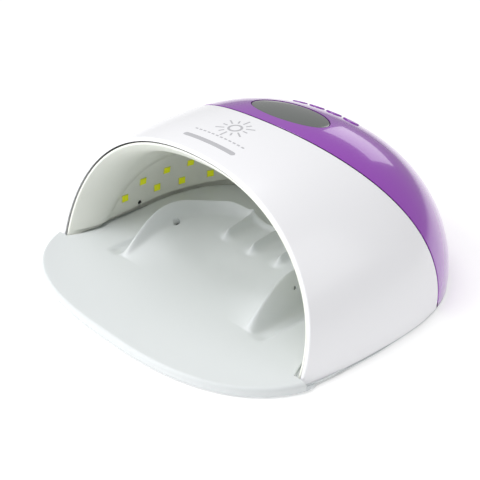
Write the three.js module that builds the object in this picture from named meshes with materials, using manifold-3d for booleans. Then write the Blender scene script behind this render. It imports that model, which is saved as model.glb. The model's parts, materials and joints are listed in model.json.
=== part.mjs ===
// A desktop UV nail-curing lamp: a domed two-shell housing over a white LED-lit hand cavity, on a moulded hand rest.
// Millimetres, +Z up, the opening faces -Y, and the origin is the middle of the footprint at the level of the feet.
import * as THREE from "three";
import Module from "manifold-3d";
import { mergeVertices } from "three/addons/utils/BufferGeometryUtils.js";

const wasm = await Module();
wasm.setup();

// ---- Driving dimensions ----
const HALF_WIDTH = 110; // dome and base, half of the overall width
const DOME_Y = 9; // the dome's highest point, behind the middle
const REAR_REACH = 102; // dome centre to the rear edge
const FRONT_REACH = 188; // the dome's own front semi-axis, which the arch cuts short
const REAR_POWER = 2.23; // squareness of the plan behind and in front of the dome centre
const FRONT_POWER = 2.1;
const DOME_TOP = 92.4;
const CROWN_POWER = 2.33; // how long the dome stays flat on top, and how steeply it meets the rim
const WALL_POWER = 1.91;
const TRAY_Y = -35; // the hand rest's front edge is a superellipse about this point
const TRAY_REACH = 76;
const TRAY_POWER = 2.57;
const SHELL_FOOT = 4.6; // where the shells stand on the base rim
const SHELL_WALL = 2;
const GAP = 0.35; // between neighbouring mouldings
const JOINT = 1.6; // the shadow line between the hand rest and the liner
const LINER_WALL = 1.5;
const LINER_INSET = 4; // the liner's inner face at the lip, measured in from the dome
const LINER_HALF = 91; // half width of the hand cavity behind the flared mouth
const LINER_REAR = 82;
const LINER_SINK = 0.15; // how far the ceiling drops from the lip, as a share of its height
const LINER_PLAN_POWER = 3.5;
const LINER_ROOF_POWER = 3;
const FLARE = 0.2; // share of the cavity's depth that the flared mouth takes
const SIDE_POWER = 2.4; // squareness of the cavity's cross-section
const ROOF_POWER = 2.6;
const BAND = { top: 40.3, fall: 0.0168, depth: 3, roll: 8 }; // the band that carries the LEDs, pressed outward
const BASE_BOTTOM = 1;
const PLATE_THICK = 1.3;
const TRAY_LEVEL = 6.2; // hand rest, at the front
const RING_LEVEL = SHELL_FOOT - GAP; // the base's plain ring, under the shells
const LED_SIZE = 4.6;
const LED_PROUD = 0.5;
const LED_STRIP = { low: 13, high: 33.5, front: -26, corner: 48 }; // heights, and the side strips' ends along Y
const SIDE_LEDS = [[-22.3, 18], [3.1, 17.4], [22.3, 16.8], [42.7, 17.2], [-8.5, 26], [9.8, 28.6], [27.5, 29.4]];
const REAR_LEDS = [[-46, 17], [-23, 17], [0, 17], [23, 17], [46, 17], [-34.5, 29], [-11.5, 29], [11.5, 29], [34.5, 29]];
const WINDOW = { y: 30, halfX: 27.5, halfY: 15 };
const KEY = { pitch: 13.6, y: 61, halfX: 5.6, halfY: 3.6, proud: 0.8, flange: 0.7 };
const BOARD = { y: 42, z: 74.4, tilt: -18, width: 62, length: 58, thick: 1.6 };
const JACK = { z: 17, radius: 5.2 };

// ---- Materials ----
const finish = (color, roughness, metalness = 0) => new THREE.MeshStandardMaterial({ color, roughness, metalness });
const MATERIALS = {
  pearl: finish(0xf2f2f4, 0.32),
  purple: finish(0x8a3fae, 0.12),
  liner: finish(0xe6e8e4, 0.4),
  tray: finish(0xdde1e2, 0.45),
  smoked: finish(0x4c504e, 0.1),
  rubber: finish(0x2b2b2d, 0.8),
  steel: finish(0x9a9ca0, 0.35, 1),
  board: finish(0x1f5a3a, 0.5),
  ledBoard: finish(0xf4f4f0, 0.4),
  black: finish(0x1b1b1d, 0.4),
  lead: finish(0x8f2020, 0.5),
};

const root = new THREE.Group();

// ---- Solids ----
const range = (n) => Array.from({ length: n + 1 }, (_, i) => i / n);
const lerp = (a, b, t) => a + (b - a) * t;
const clamp01 = (v) => Math.min(1, Math.max(0, v));
const smooth = (v) => clamp01(v) ** 2 * (3 - 2 * clamp01(v));

// A closed geometry as a solid: only positions are kept, and triangles that merging flattens are dropped.
function solid(geometry, matrix) {
  const flat = (geometry.index ? geometry.toNonIndexed() : geometry.clone());
  const bare = new THREE.BufferGeometry().setAttribute("position", flat.getAttribute("position"));
  if (matrix) bare.applyMatrix4(matrix);
  const merged = mergeVertices(bare, 1e-3);
  const old = merged.index.array;
  const kept = [];
  for (let i = 0; i < old.length; i += 3) {
    const [a, b, c] = [old[i], old[i + 1], old[i + 2]];
    if (a !== b && b !== c && c !== a) kept.push(a, b, c);
  }
  const made = new wasm.Manifold(new wasm.Mesh({
    numProp: 3,
    vertProperties: merged.attributes.position.array,
    triVerts: new Uint32Array(kept),
  }));
  if (made.volume() > 0) return made;
  for (let i = 0; i < kept.length; i += 3) [kept[i + 1], kept[i + 2]] = [kept[i + 2], kept[i + 1]];
  return new wasm.Manifold(new wasm.Mesh({
    numProp: 3,
    vertProperties: merged.attributes.position.array,
    triVerts: new Uint32Array(kept),
  }));
}

function geometryOf(made) {
  const mesh = made.getMesh();
  const points = new Float32Array(mesh.numVert * 3);
  for (let i = 0; i < mesh.numVert; i++) {
    points.set(mesh.vertProperties.subarray(i * mesh.numProp, i * mesh.numProp + 3), i * 3);
  }
  return new THREE.BufferGeometry()
    .setAttribute("position", new THREE.BufferAttribute(points, 3))
    .setIndex(new THREE.BufferAttribute(new Uint32Array(mesh.triVerts), 1));
}

function add(name, shape, material, parent = root) {
  const geometry = shape instanceof THREE.BufferGeometry ? shape : geometryOf(shape);
  const mesh = new THREE.Mesh(geometry, MATERIALS[material]);
  mesh.name = name;
  parent.add(mesh);
  return mesh;
}

// The solid between two grids of points with the same rows and columns, such as a wall's two faces.
function between(outer, inner) {
  const points = [];
  const face = (...corners) => {
    for (let i = 1; i + 1 < corners.length; i++) points.push(...corners[0], ...corners[i], ...corners[i + 1]);
  };
  const rows = outer.length - 1;
  const columns = outer[0].length - 1;
  for (let i = 0; i < rows; i++) {
    for (let j = 0; j < columns; j++) {
      face(outer[i][j], outer[i + 1][j], outer[i + 1][j + 1], outer[i][j + 1]);
      face(inner[i][j], inner[i][j + 1], inner[i + 1][j + 1], inner[i + 1][j]);
    }
  }
  for (let j = 0; j < columns; j++) {
    face(outer[0][j], outer[0][j + 1], inner[0][j + 1], inner[0][j]);
    face(outer[rows][j], inner[rows][j], inner[rows][j + 1], outer[rows][j + 1]);
  }
  for (let i = 0; i < rows; i++) {
    face(outer[i][0], inner[i][0], inner[i + 1][0], outer[i + 1][0]);
    face(outer[i][columns], outer[i + 1][columns], inner[i + 1][columns], inner[i][columns]);
  }
  return solid(new THREE.BufferGeometry().setAttribute("position", new THREE.Float32BufferAttribute(points, 3)));
}

const box = (w, d, h, x = 0, y = 0, z = 0) =>
  solid(new THREE.BoxGeometry(w, d, h), new THREE.Matrix4().makeTranslation(x, y, z));

// A cylinder along Z from z0 to z1.
function post(radius, z0, z1, x = 0, y = 0, sides = 16) {
  const turned = new THREE.Matrix4().makeTranslation(x, y, (z0 + z1) / 2)
    .multiply(new THREE.Matrix4().makeRotationX(Math.PI / 2));
  return solid(new THREE.CylinderGeometry(radius, radius, z1 - z0, sides), turned);
}

function ovalPrism(halfX, halfY, z0, z1, x = 0, y = 0, sides = 36) {
  const shape = new THREE.Shape();
  shape.absellipse(x, y, halfX, halfY, 0, Math.PI * 2);
  const cut = new THREE.ExtrudeGeometry(shape, { depth: z1 - z0, bevelEnabled: false, curveSegments: sides / 2 });
  return solid(cut, new THREE.Matrix4().makeTranslation(0, 0, z0));
}

function outlinePrism(points, z0, z1) {
  const shape = new THREE.Shape(points.map(([x, y]) => new THREE.Vector2(x, y)));
  return solid(
    new THREE.ExtrudeGeometry(shape, { depth: z1 - z0, bevelEnabled: false }),
    new THREE.Matrix4().makeTranslation(0, 0, z0),
  );
}

const together = (...parts) => parts.reduce((a, b) => a.add(b));
const without = (body, ...cuts) => cuts.reduce((a, b) => a.subtract(b), body);

// ---- The dome ----
// Its plan is a superellipse with a long front and a short rear half, and its height falls from the crown to the rim.
function domeSpread(x, y, inset = 0) {
  const dy = y - DOME_Y;
  const reach = (dy > 0 ? REAR_REACH : FRONT_REACH) - inset;
  const power = dy > 0 ? REAR_POWER : FRONT_POWER;
  return (Math.abs(x / (HALF_WIDTH - inset)) ** power + Math.abs(dy / reach) ** power) ** (1 / power);
}

function domeHeight(x, y, inset = 0) {
  const rise = (1 - clamp01(domeSpread(x, y, inset)) ** CROWN_POWER) ** (1 / WALL_POWER);
  return SHELL_FOOT + (DOME_TOP - inset - SHELL_FOOT) * rise;
}

// The dome's x at a given y and z.
function domeX(y, z, inset = 0) {
  const rise = clamp01((z - SHELL_FOOT) / (DOME_TOP - inset - SHELL_FOOT));
  const spread = (1 - rise ** WALL_POWER) ** (1 / CROWN_POWER);
  const dy = y - DOME_Y;
  const reach = (dy > 0 ? REAR_REACH : FRONT_REACH) - inset;
  const power = dy > 0 ? REAR_POWER : FRONT_POWER;
  const left = spread ** power - Math.abs(dy / reach) ** power;
  return (HALF_WIDTH - inset) * Math.max(0, left) ** (1 / power);
}

// The arch and the seam are where these leaning, slightly bowed sheets cut the dome.
const leaning = (foot, lean, bow) => (z) => foot + lean * (z / DOME_TOP) + bow * (z / DOME_TOP) ** 2;
const archY = leaning(-66.8, 31.7, -9.6);
const seamY = leaning(39.4, 12.5, -46);

// The curve where such a sheet meets the dome, from the left foot over the crown to the right foot.
function archCurve(sheet, inset, half) {
  let low = SHELL_FOOT;
  let high = DOME_TOP;
  for (let i = 0; i < 50; i++) {
    const middle = (low + high) / 2;
    if (domeHeight(0, sheet(middle), inset) > middle) low = middle;
    else high = middle;
  }
  const side = range(half).map((u) => {
    const z = SHELL_FOOT + (low - SHELL_FOOT) * Math.sin((u * Math.PI) / 2);
    return [u === 1 ? 0 : domeX(sheet(z), z, inset), sheet(z), z];
  });
  return [...side.map(([x, y, z]) => [-x, y, z]), ...side.slice(0, -1).reverse()];
}

// The base outline behind the seam's feet, from the left foot round the rear to the right one.
function rearOutline(startY, inset, count) {
  const reach = REAR_REACH - inset;
  const start = Math.asin((clamp01((startY - DOME_Y) / reach)) ** (REAR_POWER / 2));
  return range(count).map((u) => {
    const angle = lerp(Math.PI - start, start, u);
    const c = Math.cos(angle);
    return [
      Math.sign(c) * (HALF_WIDTH - inset) * Math.abs(c) ** (2 / REAR_POWER),
      DOME_Y + reach * Math.sin(angle) ** (2 / REAR_POWER),
    ];
  });
}

const ARCH_COLUMNS = 14;

function frontShellGrid(inset) {
  return range(9).map((u) => archCurve((z) => lerp(archY(z), seamY(z), u), inset, ARCH_COLUMNS));
}

function rearCoverGrid(inset) {
  const behind = (z) => seamY(z) + GAP;
  const seam = archCurve(behind, inset, ARCH_COLUMNS);
  const outline = rearOutline(seam[0][1], inset, ARCH_COLUMNS * 2);
  return range(12).map((w) => {
    const v = 1 - (1 - w) ** 2;
    return seam.map(([x, y, z], j) => {
      if (w === 0) return [x, y, z];
      const px = lerp(x, outline[j][0], v);
      const py = lerp(y, outline[j][1], v);
      return [px, py, w === 1 ? SHELL_FOOT : domeHeight(px, py, inset)];
    });
  });
}

// The whole dome as a solid, to trim lids and keys to its surface.
function domeSolid(inset, floor) {
  const turn = range(40).map((u) => u * Math.PI * 2);
  const rings = range(11).map((u) => Math.sin((u * Math.PI) / 2));
  const top = rings.map((t) => turn.map((angle) => {
    const [c, s] = [Math.cos(angle), Math.sin(angle)];
    const reach = (s > 0 ? REAR_REACH : FRONT_REACH) - inset;
    const power = s > 0 ? REAR_POWER : FRONT_POWER;
    const r = (Math.abs(c / (HALF_WIDTH - inset)) ** power + Math.abs(s / reach) ** power) ** (-1 / power);
    const rise = (1 - t ** CROWN_POWER) ** (1 / WALL_POWER);
    return [c * r * t, DOME_Y + s * r * t, SHELL_FOOT + (DOME_TOP - inset - SHELL_FOOT) * (t === 1 ? 0 : rise)];
  }));
  return between(top, top.map((ring) => ring.map(([x, y]) => [x, y, floor])));
}

// ---- The hand cavity ----
const lipTop = archCurve(archY, LINER_INSET, 1)[1][2];
const mouthHalf = archCurve(archY, LINER_INSET, 1)[2][0];

// The cavity's cross-section at a share of its depth: half width and ceiling, above the shells' foot.
function section(depth, grow) {
  const flare = 1 - Math.max(0, 1 - depth / FLARE) ** 2;
  const plan = (1 - Math.min(1, depth) ** LINER_PLAN_POWER) ** (1 / LINER_PLAN_POWER);
  const roof = (1 - Math.min(1, depth) ** LINER_ROOF_POWER) ** (1 / LINER_ROOF_POWER);
  return {
    flare,
    half: lerp(mouthHalf, LINER_HALF, flare) * plan + grow,
    rise: (lipTop - SHELL_FOOT) * (1 - LINER_SINK * flare) * roof + grow,
  };
}

// How far the wall is pressed outward: fully in the LED band, and rolling off above its curved top edge.
const bandTop = (y) => BAND.top - BAND.fall * Math.min(0, y - DOME_Y) ** 2;

function bandRecess(y, z) {
  const slope = 2 * BAND.fall * Math.min(0, y - DOME_Y);
  const below = (bandTop(y) - z) / Math.hypot(1, slope);
  return BAND.depth * clamp01(below / BAND.roll + 1) ** 2;
}

// A point of the cavity wall: side is 0 at the foot and 1 on the ceiling's middle line.
function cavityPoint(depth, side, sign, grow = 0) {
  const { flare, half, rise } = section(depth, grow);
  const high = Math.sin((side * Math.PI) / 2);
  const lipZ = SHELL_FOOT + (lipTop - SHELL_FOOT) * high;
  const lipX = side === 1 ? 0 : domeX(archY(lipZ), lipZ, LINER_INSET) / mouthHalf;
  const boxX = side === 1 ? 0 : (1 - high ** ROOF_POWER) ** (1 / SIDE_POWER);
  const y = lerp(archY(lipZ), LINER_REAR + grow, depth);
  const z = SHELL_FOOT + rise * high;
  const x = half * lerp(lipX, boxX, flare);
  const outward = bandRecess(y, z) * clamp01(x / 12) * (1 - depth ** 8);
  return [sign * (x + outward), y, z];
}

function cavityGrid(grow) {
  const columns = 12;
  const depths = range(16).map((u) => (1 - (1 - u) ** 1.7) ** 1.25);
  return depths.map((depth) => [
    ...range(columns).map((side) => cavityPoint(depth, side, -1, grow)),
    ...range(columns).slice(0, -1).reverse().map((side) => cavityPoint(depth, side, 1, grow)),
  ]);
}

// The cavity wall at one height, from the mouth on the left round the rear to the mouth on the right.
function wallAt(z, grow) {
  const left = [];
  const steps = 160;
  for (let i = 0; i <= steps; i++) {
    const depth = 1 - (1 - i / steps) ** 2;
    const { rise } = section(depth, grow);
    const high = (z - SHELL_FOOT) / rise;
    if (high > 1) {
      left.push([0, left[left.length - 1][1] + 0.2, z]);
      break;
    }
    left.push(cavityPoint(depth, Math.asin(high) / (Math.PI / 2), -1, grow));
  }
  return [...left, ...left.slice(0, -1).reverse().map(([x, y]) => [-x, y, z])];
}

// A point of the wall at one height, at an arc distance from the rear middle.
function wallPoint(z, arc, grow = 0) {
  const curve = wallAt(z, grow).map((p) => new THREE.Vector3(...p));
  const lengths = [0];
  for (let i = 1; i < curve.length; i++) lengths.push(lengths[i - 1] + curve[i].distanceTo(curve[i - 1]));
  const target = lengths[lengths.length - 1] / 2 + arc;
  const i = Math.max(1, lengths.findIndex((l) => l >= target));
  return curve[i - 1].clone().lerp(curve[i], (target - lengths[i - 1]) / (lengths[i] - lengths[i - 1]));
}

// A frame on the cavity wall: X along the wall, Y out of the cavity and Z up the wall.
function wallFrame(z, arc) {
  const along = wallPoint(z, arc + 2.5).sub(wallPoint(z, arc - 2.5)).normalize();
  const climb = wallPoint(z + 2, arc).sub(wallPoint(z - 2, arc));
  const out = climb.cross(along).normalize();
  return new THREE.Matrix4().makeBasis(along, out, along.clone().cross(out)).setPosition(wallPoint(z, arc));
}

// ---- The hand rest ----
// A horseshoe ridge runs round the palm from beside the wrist: a narrow bead over a bowl inside, and steep outside.
const HORSESHOE = { half: 52.5, y: -25, rear: 50, power: 2.6 };
const RIDGE = { start: -56, rise: 34, height: 22, outer: 3.4, bead: 2 };
const GROOVE = { away: 8.5, width: 5, depth: 2.2 };
const FINGER_BARS = [-22, 0, 22];

// How far outside the horseshoe's crest a place is, negative inside it.
function crestOffset(x, y) {
  const back = Math.max(0, y - HORSESHOE.y) / HORSESHOE.rear;
  const ring = (Math.abs(x) / HORSESHOE.half) ** HORSESHOE.power + back ** HORSESHOE.power;
  return (ring ** (1 / HORSESHOE.power) - 1) * HORSESHOE.half;
}

function restHeight(x, y) {
  const away = crestOffset(x, y);
  const floor = TRAY_LEVEL + 2.8 * smooth((y + 30) / 45) - 2.2 * smooth((y - 35) / 30);
  const palm = 1.5 * Math.exp(-((x / 32) ** 2)) * smooth((y + 105) / 60) * (1 - smooth((y + 20) / 25));
  const height = RIDGE.height * Math.sin((clamp01((y - RIDGE.start) / RIDGE.rise) * Math.PI) / 2)
    * (1 - 0.36 * smooth((y + 20) / 34)) * (0.35 + 0.65 * smooth((Math.abs(x) - 10) / 28));
  const bowl = 7 + 8 * smooth((y + 57) / 30);
  const inner = 0.4 * Math.exp(-((away / RIDGE.bead) ** 2)) + 0.6 * Math.exp(away / bowl);
  const ridge = height * (away < 0 ? inner : Math.exp(-((away / RIDGE.outer) ** 2)));
  const thumb = GROOVE.depth * Math.exp(-(((away - GROOVE.away) / GROOVE.width) ** 4))
    * smooth((y + 60) / 10) * (1 - smooth((y - 5) / 30));
  const along = smooth((y + 4) / 6) * (1 - smooth((y - 16) / 16));
  const bars = FINGER_BARS.map((middle) => 5 * Math.exp((0.8 - Math.hypot(x - middle, 0.8)) / 3.2) * along);
  return floor - palm + ridge - thumb + bars.reduce((a, b) => a + b, 0);
}

// The footprint: the hand rest's front edge, then the dome's own outline behind it.
function footprint(inset, count) {
  return range(count).slice(0, -1).map((u) => {
    const angle = u * Math.PI * 2;
    const [c, s] = [Math.cos(angle), Math.sin(angle)];
    const y0 = s > 0 ? DOME_Y : TRAY_Y;
    const power = s > 0 ? REAR_POWER : TRAY_POWER;
    const reach = (s > 0 ? REAR_REACH : TRAY_REACH) - inset;
    return [
      Math.sign(c) * (HALF_WIDTH - inset) * Math.abs(c) ** (2 / power),
      y0 + Math.sign(s) * reach * Math.abs(s) ** (2 / power),
    ];
  });
}

// Rings of the hand rest's grid, as shares of the way to the ridge's crest and then on to the rim.
const INNER_RINGS = [0, 0.22, 0.4, 0.55, 0.66, 0.75, 0.82, 0.88, 0.93, 0.97, 1];
const OUTER_RINGS = [0.035, 0.075, 0.12, 0.18, 0.27, 0.4, 0.55, 0.7, 0.85, 1];
const EDGE_RINGS = [[0.985, 0], [0.992, 0.7], [1, 2.4]]; // shares of the rim, and how far the edge has dropped there

function baseTray() {
  const rim = footprint(0, 64);
  const crestShare = rim.map(([x, y]) => {
    let share = 0.62;
    while (share > 0.2 && crestOffset(x * share, lerp(TRAY_Y, y, share)) > 0) share -= 0.002;
    return share;
  });
  const at = ({ inward, outward, edge }) => rim.map(([x, y], i) => {
    const share = edge ?? lerp(crestShare[i] * inward, 0.972, outward);
    return [x * share, lerp(TRAY_Y, y, share)];
  });
  const closed = (ring) => [...ring, ring[0]];
  const rings = [
    ...INNER_RINGS.map((inward) => ({ inward, outward: 0 })),
    ...OUTER_RINGS.map((outward) => ({ inward: 1, outward })),
    ...EDGE_RINGS.map(([edge, drop]) => ({ edge, drop })),
  ];
  const top = rings.map((ring) => closed(at(ring).map(([x, y]) => {
    const level = restHeight(x, y);
    return [x, y, ring.edge ? Math.min(level, TRAY_LEVEL) - ring.drop : level];
  })));
  const roomy = BASE_BOTTOM + PLATE_THICK + GAP;
  const underAt = (x, y) => {
    const lowest = Math.min(...[-1.6, 0, 1.6].map((step) => restHeight(x + step, y)));
    return Math.max(roomy, lowest - 2);
  };
  const under = rings.map((ring) => closed(at(ring).map(
    ([x, y]) => [x, y, ring.edge > 0.99 ? BASE_BOTTOM : underAt(x, y)],
  )));
  const slab = between(top, under);
  const sampled = (z) => wallAt(z, -JOINT).filter((p, i) => i % 5 === 0).map(([x, y]) => [x, y]);
  const flare = sampled(TRAY_LEVEL).filter(([, y]) => y < -20);
  const inner = sampled(TRAY_LEVEL + 5).filter(([, y]) => y >= -20);
  const foot = [...flare.filter(([x]) => x < 0), ...inner, ...flare.filter(([x]) => x > 0)];
  const mouth = archY(SHELL_FOOT) - GAP;
  const open = [...foot, [foot[foot.length - 1][0], mouth], [130, mouth], [130, -130], [-130, -130], [-130, mouth],
    [foot[0][0], mouth]];
  const kept = outlinePrism(open, 0, 60).add(box(260, 260, RING_LEVEL, 0, 0, RING_LEVEL / 2));
  return slab.intersect(kept);
}

// ---- Screw places ----
const BASE_SCREWS = { front_left: [-100.5, -34], front_right: [100.5, -34], rear_left: [-68, 78], rear_right: [68, 78] };
const FEET = { front_left: [-72, -62], front_right: [72, -62], rear_left: [-64, 60], rear_right: [64, 60] };
const BOSS = { radius: 3.4, bore: 1.6, top: 18 };

// A hollow boss for a base screw, with a rib that ties it to the shell's wall.
function boss([x, y]) {
  const out = new THREE.Vector2(x, y - DOME_Y).normalize();
  const turned = new THREE.Matrix4().makeRotationZ(Math.atan2(out.y, out.x));
  const wall = findWall(out);
  const reach = wall - Math.hypot(x, y - DOME_Y);
  const rib = solid(new THREE.BoxGeometry(reach, 1.6, 10),
    new THREE.Matrix4().makeTranslation(x, y, SHELL_FOOT + 5).multiply(turned)
      .multiply(new THREE.Matrix4().makeTranslation(reach / 2, 0, 0)));
  return without(together(post(BOSS.radius, SHELL_FOOT, BOSS.top, x, y), rib), post(BOSS.bore, 0, BOSS.top - 2, x, y));
}

// How far from the dome centre the middle of the shell's wall lies, along a plan direction.
function findWall(out) {
  let reach = 60;
  while (domeSpread(out.x * reach, DOME_Y + out.y * reach, SHELL_WALL / 2) < 0.985) reach += 0.25;
  return reach;
}

// ---- Control panel: everything on it shares the board's tilt ----
const panelMatrix = new THREE.Matrix4().makeTranslation(0, BOARD.y, BOARD.z)
  .multiply(new THREE.Matrix4().makeRotationX((BOARD.tilt * Math.PI) / 180));
const panelInverse = panelMatrix.clone().invert();

// The height of the dome above a point of the board, measured square to the board.
function skinAbove(x, y) {
  let high = 0;
  const at = new THREE.Vector3();
  do {
    high += 0.05;
    at.set(x, y, high).applyMatrix4(panelMatrix);
  } while (at.z < domeHeight(at.x, at.y));
  return high;
}

const keyY = new THREE.Vector3(0, KEY.y, domeHeight(0, KEY.y)).applyMatrix4(panelInverse).y;
const KEY_X = [-1.5, -0.5, 0.5, 1.5].map((step) => step * KEY.pitch);
const SWITCH = { size: 6, height: 3.6, plunger: 1.5 };
const BOARD_SCREWS = [[-27, -25], [27, -25], [-27, 10.5], [27, 10.5]];
const PLUNGER_TOP = BOARD.thick / 2 + SWITCH.height + SWITCH.plunger;

const placed = (made) => solid(geometryOf(made), panelMatrix);

// A key: its cap stands through the cover, a flange keeps it from falling out, and a stem reaches its switch.
function keyBody(x) {
  const skin = skinAbove(x, keyY);
  const cap = placed(ovalPrism(KEY.halfX, KEY.halfY, skin - 8, skin + 6, x, keyY, 20));
  const skirt = placed(ovalPrism(KEY.halfX + KEY.flange, KEY.halfY + KEY.flange, skin - 8, skin + 6, x, keyY, 20));
  const under = SHELL_WALL + GAP;
  const stem = placed(post(1.6, PLUNGER_TOP + 0.1, skin - 2, x, keyY, 12));
  return together(
    cap.intersect(without(domeShape(-KEY.proud), domeShape(under + 1))),
    skirt.intersect(without(domeShape(under), domeShape(under + 1))),
    stem,
  );
}

const domes = new Map();
function domeShape(inset) {
  if (!domes.has(inset)) domes.set(inset, domeSolid(inset, 20));
  return domes.get(inset);
}

function rearCover() {
  let cover = between(rearCoverGrid(0), rearCoverGrid(SHELL_WALL));
  const { y, halfX, halfY } = WINDOW;
  cover = without(cover, ovalPrism(halfX + GAP, halfY + GAP, 40, 120, 0, y).subtract(domeShape(SHELL_WALL - 0.8)));
  cover = without(cover, ovalPrism(halfX - 3, halfY - 3, 40, 120, 0, y));
  for (const x of KEY_X) {
    cover = cover.subtract(placed(ovalPrism(KEY.halfX + GAP, KEY.halfY + GAP, -5, 24, x, keyY, 20)));
  }
  for (const [x, py] of BOARD_SCREWS) {
    const pillar = placed(post(2.7, BOARD.thick / 2 + 0.3, skinAbove(x, py) - SHELL_WALL / 2, x, py, 12));
    cover = cover.add(pillar).subtract(placed(post(1.4, -2, 6.4, x, py, 12)));
  }
  const back = new THREE.Matrix4().makeTranslation(0, DOME_Y + REAR_REACH, JACK.z);
  cover = cover.subtract(solid(new THREE.CylinderGeometry(JACK.radius + GAP, JACK.radius + GAP, 20, 24), back));
  for (const side of [-1, 1]) {
    for (let i = 0; i < 5; i++) cover = cover.subtract(box(2, 60, 10, side * (20 + i * 5), 100, 15));
  }
  return together(cover, boss(BASE_SCREWS.rear_left), boss(BASE_SCREWS.rear_right));
}

function displayWindow() {
  const { y, halfX, halfY } = WINDOW;
  return ovalPrism(halfX, halfY, 40, 120, 0, y).intersect(without(domeShape(0.1), domeShape(SHELL_WALL - 1.1)));
}

// ---- LED boards: a strip behind the band, with its chips standing through windows in the liner ----
// The arc distance from the rear middle at which the right-hand wall reaches a place along Y.
function arcAt(z, y) {
  const curve = wallAt(z, 0).map((p) => new THREE.Vector3(...p));
  let arc = 0;
  for (let i = (curve.length - 1) / 2 + 1; i < curve.length; i++) {
    const step = curve[i].distanceTo(curve[i - 1]);
    if (curve[i].y < y) return arc + step * ((curve[i - 1].y - y) / (curve[i - 1].y - curve[i].y));
    arc += step;
  }
  return arc;
}

const LEDS = [
  ...REAR_LEDS.map(([arc, z]) => ({ z, arc })),
  ...[-1, 1].flatMap((side) => SIDE_LEDS.map(([y, z]) => ({ z, arc: side * arcAt(z, y) }))),
];
const STRIP_END = arcAt(LED_STRIP.low, LED_STRIP.front);
const STRIP_CORNER = arcAt(LED_STRIP.low, LED_STRIP.corner);

// A box on the wall over one LED, from one depth to another, where zero is the cavity's face.
const ledBox = (size, from, to, { z, arc }) => solid(
  new THREE.BoxGeometry(size, to - from, size),
  wallFrame(z, arc).multiply(new THREE.Matrix4().makeTranslation(0, (from + to) / 2, 0)),
);

function ledBoard(from, to) {
  const columns = range(12).map((u) => {
    const arc = lerp(from, to, u);
    return { arc, high: Math.min(LED_STRIP.high, bandTop(wallPoint(LED_STRIP.low, arc).y) - 1.5) };
  });
  const face = (grow) => range(3).map((v) => columns.map(
    ({ arc, high }) => wallPoint(lerp(LED_STRIP.low, high, v), arc, grow).toArray(),
  ));
  const strip = between(face(LINER_WALL + 2), face(LINER_WALL + 0.8));
  const chips = LEDS.filter(({ arc }) => arc > from && arc < to);
  return together(strip, ...chips.map((led) => ledBox(LED_SIZE, -LED_PROUD, LINER_WALL + 1.6, led)));
}

const SENSOR = { z: 10.7, arc: arcAt(10.7, -10.6) };

function innerLiner() {
  const walls = between(cavityGrid(LINER_WALL), cavityGrid(0));
  const windows = LEDS.map((led) => ledBox(LED_SIZE + 0.8, -6, 6, led));
  const eyes = [-1, 1].map((side) => solid(new THREE.CylinderGeometry(1.7, 1.7, 12, 12),
    wallFrame(SENSOR.z, side * SENSOR.arc)));
  return without(walls, ...windows, ...eyes);
}

function sensorEye(side) {
  const at = wallFrame(SENSOR.z, side * SENSOR.arc);
  const lens = new THREE.CylinderGeometry(1.35, 1.35, 4, 12);
  const block = new THREE.BoxGeometry(4, 2.4, 3.6);
  return together(
    solid(lens, at.clone().multiply(new THREE.Matrix4().makeTranslation(0, 2.6, 0))),
    solid(block, at.clone().multiply(new THREE.Matrix4().makeTranslation(0, LINER_WALL + 2.6, 0))),
  );
}

// ---- Leads ----
function lead(points) {
  const shape = new THREE.Shape().absarc(0, 0, 0.9, 0, Math.PI * 2);
  const path = new THREE.CatmullRomCurve3(points.map((p) => new THREE.Vector3(...p)), false, "centripetal");
  return solid(new THREE.ExtrudeGeometry(shape, { steps: 14, curveSegments: 4, extrudePath: path, bevelEnabled: false }));
}

// ---- Assembly ----
function housing() {
  const shell = between(frontShellGrid(0), frontShellGrid(SHELL_WALL));
  add("front_shell", together(shell, boss(BASE_SCREWS.front_left), boss(BASE_SCREWS.front_right)), "pearl");
  add("rear_cover", rearCover(), "purple");
  add("inner_liner", innerLiner(), "liner");
}

const EYE = { x: 48.2, y: -17.4 }; // the slit for the hand sensor, on the ridge's inner side

function base() {
  const screwHoles = Object.values(BASE_SCREWS).map(([x, y]) => post(1.9, 0, 30, x, y));
  const slits = [-1, 1].map((side) => box(2.4, 4.4, 40, side * EYE.x, EYE.y, 20));
  add("base_tray", without(baseTray(), ...screwHoles, ...slits), "tray");
  const plate = outlinePrism(footprint(HALF_WIDTH * 0.023 + GAP, 60), BASE_BOTTOM, BASE_BOTTOM + PLATE_THICK);
  const pockets = Object.values(FEET).map(([x, y]) => post(6.4, 0, BASE_BOTTOM + 0.6, x, y, 20));
  const sinks = Object.values(BASE_SCREWS).map(([x, y]) => post(3.3, 0, BASE_BOTTOM + 0.6, x, y));
  add("bottom_plate", without(plate, ...pockets, ...sinks, ...screwHoles), "tray");
  for (const [place, [x, y]] of Object.entries(FEET)) {
    add(`foot_${place}`, post(6, 0, BASE_BOTTOM + 0.3, x, y, 20), "rubber");
  }
  for (const [place, [x, y]] of Object.entries(BASE_SCREWS)) {
    const slot = box(3.6, 0.8, 0.8, x, y, 0.5);
    add(`base_screw_${place}`, together(post(3, 0.4, 1.3, x, y), post(1.3, 1.2, 13, x, y, 10)).subtract(slot), "steel");
  }
  for (const [name, side] of [["tray_sensor_left", -1], ["tray_sensor_right", 1]]) {
    const top = restHeight(EYE.x - 1, EYE.y) - 1.2;
    const lens = box(1.4, 3.4, 7, side * EYE.x, EYE.y, top - 3.5);
    add(name, together(lens, box(4, 4, 3, side * EYE.x, EYE.y, top - 8)), "black");
  }
}

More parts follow.
